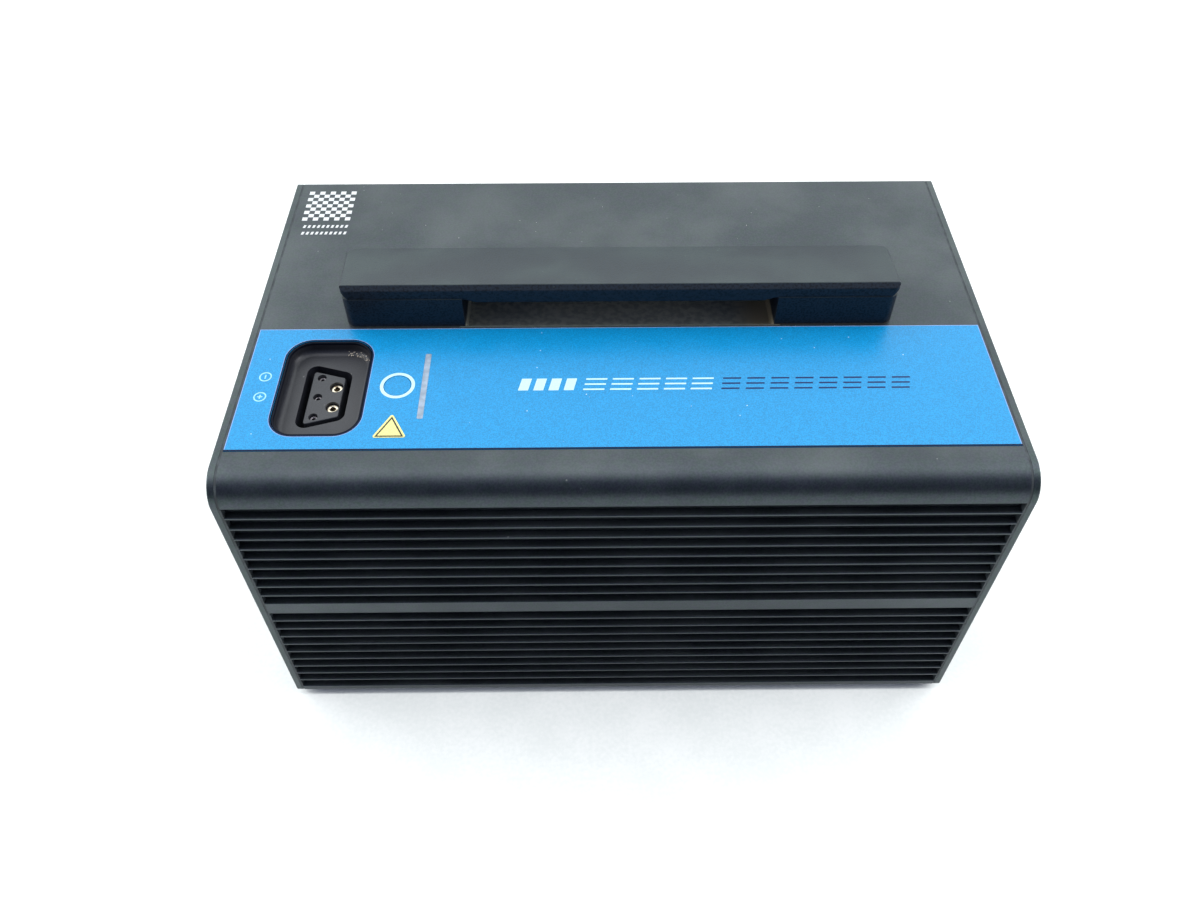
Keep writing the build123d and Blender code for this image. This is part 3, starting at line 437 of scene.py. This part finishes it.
def slot_materials():
    """One finished material for each slot of the record."""
    return {
        "anodised_case": anodised("anodised_case", (0.046, 0.056, 0.062, 1.0)),
        "anodised_plate": anodised("anodised_plate", (0.047, 0.060, 0.063, 1.0)),
        "handle_plastic": handle_plastic("handle_plastic"),
        # Above 1.3 mm under the case's top, this plastic is painted shade: the dark gap at the port's rim.
        "black_plastic": moulded("black_plastic", (0.012, 0.013, 0.018, 1.0), 0.10,
                                 shade_above=case_top - 1.3 * mm),
        "grey_insulator": moulded("grey_insulator", (0.020, 0.022, 0.027, 1.0), 0.10),
        "black_rubber": rubber("black_rubber", (0.028, 0.034, 0.037, 1.0)),
        "dark_steel": metal("dark_steel", (0.10, 0.10, 0.11, 1.0), 0.35, (0.05, 0.045, 0.04, 1.0)),
        "blue_film": printed_film("blue_film", (0.003, 0.236, 0.505, 1.0)),
        "yellow_film": printed_film("yellow_film", (0.72, 0.66, 0.24, 1.0)),
        "gold_contact": metal("gold_contact", (0.92, 0.84, 0.68, 1.0), 0.3, (0.40, 0.30, 0.18, 1.0)),
        "silver_contact": metal("silver_contact", (0.30, 0.28, 0.30, 1.0), 0.4, (0.15, 0.14, 0.14, 1.0)),
        "milky_lens": milky_lens("milky_lens"),
        "board_plastic": moulded("board_plastic", (0.02, 0.02, 0.022, 1.0), 0.0, roughness=0.5),
        "circuit_board": circuit_board("circuit_board"),
        "brass_insert": metal("brass_insert", (0.72, 0.52, 0.24, 1.0), 0.3, (0.45, 0.31, 0.14, 1.0)),
        "cell_can": cell_sleeve("cell_can"),
        "white_plastic": moulded("white_plastic", (0.60, 0.60, 0.57, 1.0), 0.0, roughness=0.5),
        "nickel": metal("nickel", (0.70, 0.67, 0.62, 1.0), 0.3, (0.55, 0.52, 0.46, 1.0)),
        "insulating_paper": paper("insulating_paper"),
        "grey_pad": foam("grey_pad", (0.18, 0.19, 0.20, 1.0)),
        "black_foam": foam("black_foam", (0.02, 0.02, 0.021, 1.0)),
        "copper": metal("copper", (0.80, 0.42, 0.28, 1.0), 0.28, (0.45, 0.22, 0.14, 1.0)),
        "bare_aluminium": metal("bare_aluminium", (0.75, 0.76, 0.77, 1.0), 0.35, (0.55, 0.56, 0.58, 1.0)),
        "fuse_body": ceramic("fuse_body"),
        "red_sleeve": rubber("red_sleeve", (0.38, 0.015, 0.012, 1.0)),
        "black_sleeve": rubber("black_sleeve", (0.02, 0.02, 0.022, 1.0)),
    }


def paint_frame():
    """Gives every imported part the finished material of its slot."""
    finished = slot_materials()
    for part in frame["record"]["subparts"]:
        mesh = frame["nodes"][part["node"]].data
        mesh.materials.clear()
        mesh.materials.append(finished[part["material_slot"]])


# ---- Thin printed shapes and loose crumbs ----
def circle(middle, radius, points=72):
    return [
        Vector((middle.x + radius * math.cos(2 * math.pi * i / points),
                middle.y + radius * math.sin(2 * math.pi * i / points)))
        for i in range(points)
    ]


def rounded_outline(middle, width, depth, radius, points=10):
    """A rectangle with round corners, drawn anticlockwise from its right-hand side."""
    outline = []
    for quarter, (side, end) in enumerate(((1, 1), (-1, 1), (-1, -1), (1, -1))):
        corner_x = middle.x + side * (width / 2 - radius)
        corner_y = middle.y + end * (depth / 2 - radius)
        for i in range(points + 1):
            angle = math.pi / 2 * (quarter + i / points)
            reach = Vector((math.cos(angle), math.sin(angle))) * radius
            outline.append(Vector((corner_x, corner_y)) + reach)
    return outline


def box_outline(x0, x1, y0, y1, slant=0.0):
    """A rectangle whose top edge is moved along X by slant times its depth."""
    lean = slant * (y1 - y0)
    return [Vector((x0, y0)), Vector((x1, y0)), Vector((x1 + lean, y1)), Vector((x0 + lean, y1))]


def add_patch(mesh, outline, bottom, thickness=print_thickness):
    """A flat filled shape, as a closed solid with a top, a bottom and sides."""
    low = [mesh.verts.new((p.x, p.y, bottom)) for p in outline]
    high = [mesh.verts.new((p.x, p.y, bottom + thickness)) for p in outline]
    mesh.faces.new(high)
    mesh.faces.new(reversed(low))
    for i in range(len(outline)):
        j = (i + 1) % len(outline)
        mesh.faces.new((low[i], low[j], high[j], high[i]))


def add_band(mesh, outer, inner, bottom, thickness=print_thickness):
    """A flat ring between two outlines with the same number of points."""
    rings = []
    for outline, height in ((outer, 0), (outer, thickness), (inner, thickness), (inner, 0)):
        rings.append([mesh.verts.new((p.x, p.y, bottom + height)) for p in outline])
    count = len(outer)
    for a, b in zip(rings, rings[1:] + rings[:1]):
        for i in range(count):
            j = (i + 1) % count
            mesh.faces.new((a[i], a[j], b[j], b[i]))


def add_crumb(mesh, place, radius, dice):
    """One grain of dirt: a small lumpy pebble."""
    made = bmesh.ops.create_icosphere(mesh, subdivisions=1, radius=radius)
    stretch = Vector((dice.uniform(0.6, 1.4), dice.uniform(0.6, 1.4), dice.uniform(0.4, 0.8)))
    for vertex in made["verts"]:
        lump = dice.uniform(0.75, 1.2)
        vertex.co = Vector((vertex.co[i] * stretch[i] * lump for i in range(3))) + place


def finished_piece(name, mesh, material):
    """Turns mesh data into a named piece that rides on the case."""
    bmesh.ops.recalc_face_normals(mesh, faces=mesh.faces)
    data = bpy.data.meshes.new(name)
    mesh.to_mesh(data)
    mesh.free()
    data.materials.append(material)
    piece = bpy.data.objects.new(name, data)
    bpy.context.scene.collection.objects.link(piece)
    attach(piece, "case")
    return piece


def button_ring(white):
    mesh = bmesh.new()
    add_band(mesh, circle(button_middle, ring_outer, 96), circle(button_middle, ring_inner, 96), label_top)
    finished_piece("button_ring", mesh, white)


def polarity_marks(white):
    """Two small rings left of the port, one with a bar and one with a cross."""
    x = port_middle.x - polarity_beside_port
    negative = ("negative_mark", row_y + negative_behind_row, False)
    positive = ("positive_mark", row_y - positive_before_row, True)
    for name, y, crossed in (negative, positive):
        outer = circle(Vector((x, y)), polarity_radius, 48)
        inner = circle(Vector((x, y)), polarity_radius - polarity_line, 48)
        mesh = bmesh.new()
        add_band(mesh, outer, inner, label_top)
        reach = polarity_radius * 0.42
        half = polarity_line / 2
        add_patch(mesh, box_outline(x - half, x + half, y - reach, y + reach), label_top)
        if crossed:
            add_patch(mesh, box_outline(x - reach, x - half, y - half, y + half), label_top)
            add_patch(mesh, box_outline(x + half, x + reach, y - half, y + half), label_top)
        finished_piece(name, mesh, white)


def add_dashes(mesh, lines, start, end, count, gap):
    """A row of slanted dashes: solid when lines is 0, else each made of that many thin lines."""
    width = (end - start - gap * (count - 1)) / count
    bottom = row_y - stripe_height / 2
    top = bottom + stripe_height
    for index in range(count):
        left = start + index * (width + gap)
        if lines == 0:
            add_patch(mesh, box_outline(left, left + width, bottom, top, stripe_slant), label_top)
            continue
        for line in range(lines):
            low = bottom + line * (stripe_height - stripe_line) / (lines - 1)
            lean = stripe_slant * (low - bottom)
            outline = box_outline(left + lean, left + width + lean, low, low + stripe_line, stripe_slant)
            add_patch(mesh, outline, label_top)


def label_stripes(white, navy):
    """A plain decorative row on the label: bold dashes, then thin ones, then dark ones."""
    bold = bmesh.new()
    add_dashes(bold, 0, **bold_dashes)
    finished_piece("label_bold_stripes", bold, white)
    thin = bmesh.new()
    add_dashes(thin, stripe_lines, **thin_dashes)
    finished_piece("label_thin_stripes", thin, white)
    dark = bmesh.new()
    add_dashes(dark, stripe_lines, **dark_dashes)
    finished_piece("label_dark_stripes", dark, navy)


def around_port(distance):
    """The outline of the label's port hole, grown by a distance."""
    return rounded_outline(port_middle, port_hole_width + 2 * distance, port_hole_depth + 2 * distance,
                           port_hole_radius + distance)


def label_painted_edges(edge_highlight_ink, navy):
    """Pale hairlines round the print and the port as painted highlight, and dark ones at the port's edge
    and in front as painted shade.
    """
    left, right = label_low.x, label_high.x
    front, back = label_low.y + front_line_width, label_high.y
    mesh = bmesh.new()
    # Pale hairlines: painted highlight along the label's edge and round the port's rim.
    outer = box_outline(left, right, front, back)
    inner = box_outline(left + border_width, right - border_width, front, back - border_width)
    add_band(mesh, outer, inner, label_top, print_thickness / 2)
    add_band(mesh, around_port(1.4 * port_line), around_port(port_line), label_top, print_thickness / 2)
    finished_piece("label_painted_edges", mesh, edge_highlight_ink)
    # Dark lines: painted shade in the gap round the port and along the label's front edge.
    mesh = bmesh.new()
    add_band(mesh, around_port(port_line), around_port(0.0), label_top, print_thickness / 2)
    add_patch(mesh, box_outline(left, right, label_low.y, front), label_top, print_thickness / 2)
    finished_piece("label_painted_shade_lines", mesh, navy)


def sticker_border(dark):
    """A thin dark line just inside the edge of the plain yellow marker."""
    mesh = bmesh.new()
    low, high = sticker_low, sticker_high
    corners = [Vector((low.x, low.y)), Vector((high.x, low.y)), Vector(((low.x + high.x) / 2, high.y))]
    middle = sum(corners, Vector((0, 0))) / 3
    outer = [middle + (corner - middle) * marker_line_outside for corner in corners]
    inner = [middle + (corner - middle) * marker_line_inside for corner in corners]
    add_band(mesh, outer, inner, high.z)
    finished_piece("marker_edge", mesh, dark)


def code_pattern(white):
    """A plain woven pattern of squares where a code is printed, with two rows of small dashes below."""
    mesh = bmesh.new()
    left = shell_low.x + code_margin
    step = code_size / code_cells
    for column in range(code_cells):
        for row in range(code_cells):
            if (column + row) % 2:
                continue
            x = left + column * step
            y = code_back - code_size + row * step
            add_patch(mesh, box_outline(x, x + step * code_fill, y, y + step * code_fill), case_top)
    for y in code_dash_rows:
        for index in range(code_dash_count):
            x = left + code_dash_indent + index * code_dash_pitch
            dash = box_outline(x, x + code_dash_width, y, y + code_dash_height, code_dash_slant)
            add_patch(mesh, dash, case_top)
    finished_piece("code_pattern", mesh, white)


def crumbs(name, material, places, smallest, largest, seed):
    """Loose grains; places is a function that gives one place from the dice."""
    dice = random.Random(seed)
    mesh = bmesh.new()
    for place in places(dice):
        add_crumb(mesh, place, dice.uniform(smallest, largest), dice)
    finished_piece(name, mesh, material)


def port_crumb_places(dice):
    """Sand in the back right corner of the port's recess, a little higher towards its wall."""
    corner_x = port_middle.x + 7.5 * mm
    corner_y = port_middle.y + 17.0 * mm
    recess_floor = case_top - 5.9 * mm
    for _ in range(port_sand_count):
        angle = math.radians(dice.uniform(20, 100))
        reach = dice.uniform(0.72, 0.94)
        x = corner_x + 10.2 * mm * math.cos(angle) * reach
        y = corner_y + 9.6 * mm * math.sin(angle) * reach
        yield Vector((x, y, recess_floor + 6.0 * mm * max(0.0, reach - 0.8)))


def label_edge_places(dice):
    """Dust caught along the label's back edge, in front of the handle."""
    for _ in range(label_dust_count):
        yield Vector((dice.uniform(-0.120, 0.120), label_high.y + dice.uniform(-0.15, 0.1) * mm, label_top))


def top_places(dice):
    """A few pale grains on the back of the case's top, and some on the label."""
    for _ in range(case_dust_count):
        yield Vector((dice.uniform(-0.15, 0.15), dice.uniform(0.050, 0.095), case_top))
    for _ in range(label_speck_count):
        yield Vector((dice.uniform(-0.06, 0.15), dice.uniform(-0.078, -0.015), label_top))


def grime(name, tone):
    """Dull, uneven dirt for the loose grains."""
    finish = Finish(name, tone, 0.9, specular=0.2)
    finish.color(finish.mix(finish.span(finish.noise(0.4 * mm, 2.0), 0.35, 0.65), darker(tone, 0.6), tone))
    return finish.material


def make_details():
    white = ink("white_ink", (0.50, 0.74, 0.78, 1.0))
    plain_white = ink("plain_white_ink", (0.62, 0.64, 0.63, 1.0))
    faint = ink("faint_ink", (0.30, 0.62, 0.72, 1.0))
    navy = ink("navy_ink", (0.004, 0.016, 0.09, 1.0), specular=0.3)
    # Pale and dark edge inks: painted highlight and painted shade for the label's edges.
    edge_highlight_ink = ink("painted_edge_highlight", (0.20, 0.34, 0.62, 1.0))
    edge_shade_ink = ink("painted_edge_shade", (0.003, 0.012, 0.04, 1.0), specular=0.12)
    dark_line = ink("dark_line", (0.02, 0.025, 0.01, 1.0))
    sand = grime("sand", (0.62, 0.55, 0.45, 1.0))
    pale_dust = grime("pale_dust", (0.55, 0.55, 0.52, 1.0))
    button_ring(white)
    polarity_marks(faint)
    label_stripes(white, navy)
    label_painted_edges(edge_highlight_ink, edge_shade_ink)
    sticker_border(dark_line)
    code_pattern(plain_white)
    crumbs("port_sand", sand, port_crumb_places, 0.10 * mm, 0.36 * mm, 4)
    crumbs("label_edge_dust", pale_dust, label_edge_places, 0.06 * mm, 0.16 * mm, 9)
    crumbs("top_dust", pale_dust, top_places, 0.08 * mm, 0.2 * mm, 12)


# ---- Floor, light and camera ----
def floor():
    """A wide pale sheet, faintly mottled."""
    mesh = bmesh.new()
    bmesh.ops.create_grid(mesh, x_segments=24, y_segments=24, size=floor_half_size)
    data = bpy.data.meshes.new("floor")
    mesh.to_mesh(data)
    mesh.free()
    finish = Finish("pale_floor", (0.86, 0.88, 0.86, 1.0), 0.6, specular=0.2)
    cloth = finish.maths("ADD", finish.maths("MULTIPLY", finish.noise(0.03, 4.0), 0.5),
                         finish.maths("MULTIPLY", finish.noise(2 * mm, 4.0), 0.5))
    shade = finish.span(cloth, 0.35, 0.65)
    finish.color(finish.mix(shade, (0.85, 0.875, 0.83, 1.0), (0.93, 0.945, 0.90, 1.0)))
    data.materials.append(finish.material)
    plane = bpy.data.objects.new("floor", data)
    bpy.context.scene.collection.objects.link(plane)


def soft_light(name, place, target, size, power):
    """An oblong light that shines from a place towards a target."""
    data = bpy.data.lights.new(name, "AREA")
    data.shape = "RECTANGLE"
    data.size, data.size_y = size
    data.energy = power
    light = bpy.data.objects.new(name, data)
    light.location = place
    light.rotation_euler = (Vector(target) - Vector(place)).to_track_quat("-Z", "Y").to_euler()
    bpy.context.scene.collection.objects.link(light)


def world():
    """A studio that is bright above and behind the pack and dim in front, with a plain pale backdrop."""
    made = bpy.data.worlds.new("studio")
    bpy.context.scene.world = made
    made.use_nodes = True
    tree = made.node_tree
    background = tree.nodes["Background"]
    direction = tree.nodes.new("ShaderNodeTexCoord").outputs["Generated"]
    facing = tree.nodes.new("ShaderNodeVectorMath")
    facing.operation = "DOT_PRODUCT"
    tree.links.new(direction, facing.inputs[0])
    facing.inputs[1].default_value = studio_toward
    share = tree.nodes.new("ShaderNodeMapRange")
    tree.links.new(facing.outputs["Value"], share.inputs["Value"])
    share.inputs["From Min"].default_value = -1.0
    shades = tree.nodes.new("ShaderNodeValToRGB")
    tree.links.new(share.outputs["Result"], shades.inputs["Fac"])
    seen = tree.nodes.new("ShaderNodeMix")
    seen.data_type = "RGBA"
    tree.links.new(tree.nodes.new("ShaderNodeLightPath").outputs["Is Camera Ray"], seen.inputs[mix_factor])
    tree.links.new(shades.outputs["Color"], seen.inputs[mix_first])
    seen.inputs[mix_second].default_value = backdrop_shade
    tree.links.new(seen.outputs[mix_result], background.inputs["Color"])
    background.inputs["Strength"].default_value = studio_strength
    elements = shades.color_ramp.elements
    first, *between, last = studio_shades
    elements[0].position, elements[0].color = first
    elements[1].position, elements[1].color = last
    for position, color in between:
        elements.new(position).color = color


def lights():
    """Narrow boxes at the sides fill in the shadow on the floor, weak ones in front light the pocket."""
    for side in (-1, 1):
        soft_light("side_box", (1.3 * side, -0.17, 0.95), (0.0, -0.1, 0.0), (0.16, 0.9), side_box_watts)
        soft_light("pocket_box", (1.3 * side, -0.80, 0.85), (0.0, 0.0, 0.17), (0.5, 0.5), pocket_box_watts)


def camera():
    """Stands in front of the pack and looks down on it, a little off the middle."""
    data = bpy.data.cameras.new("camera")
    data.sensor_width = 36.0
    data.lens = camera_lens
    data.shift_y = camera_shift
    made = bpy.data.objects.new("camera", data)
    made.location = camera_place
    made.rotation_euler = (math.radians(camera_tilt), 0.0, math.radians(camera_turn))
    bpy.context.scene.collection.objects.link(made)
    bpy.context.scene.camera = made


bpy.context.scene.view_settings.view_transform = "Standard"
camera()
paint_frame()
make_details()
floor()
world()
lights()
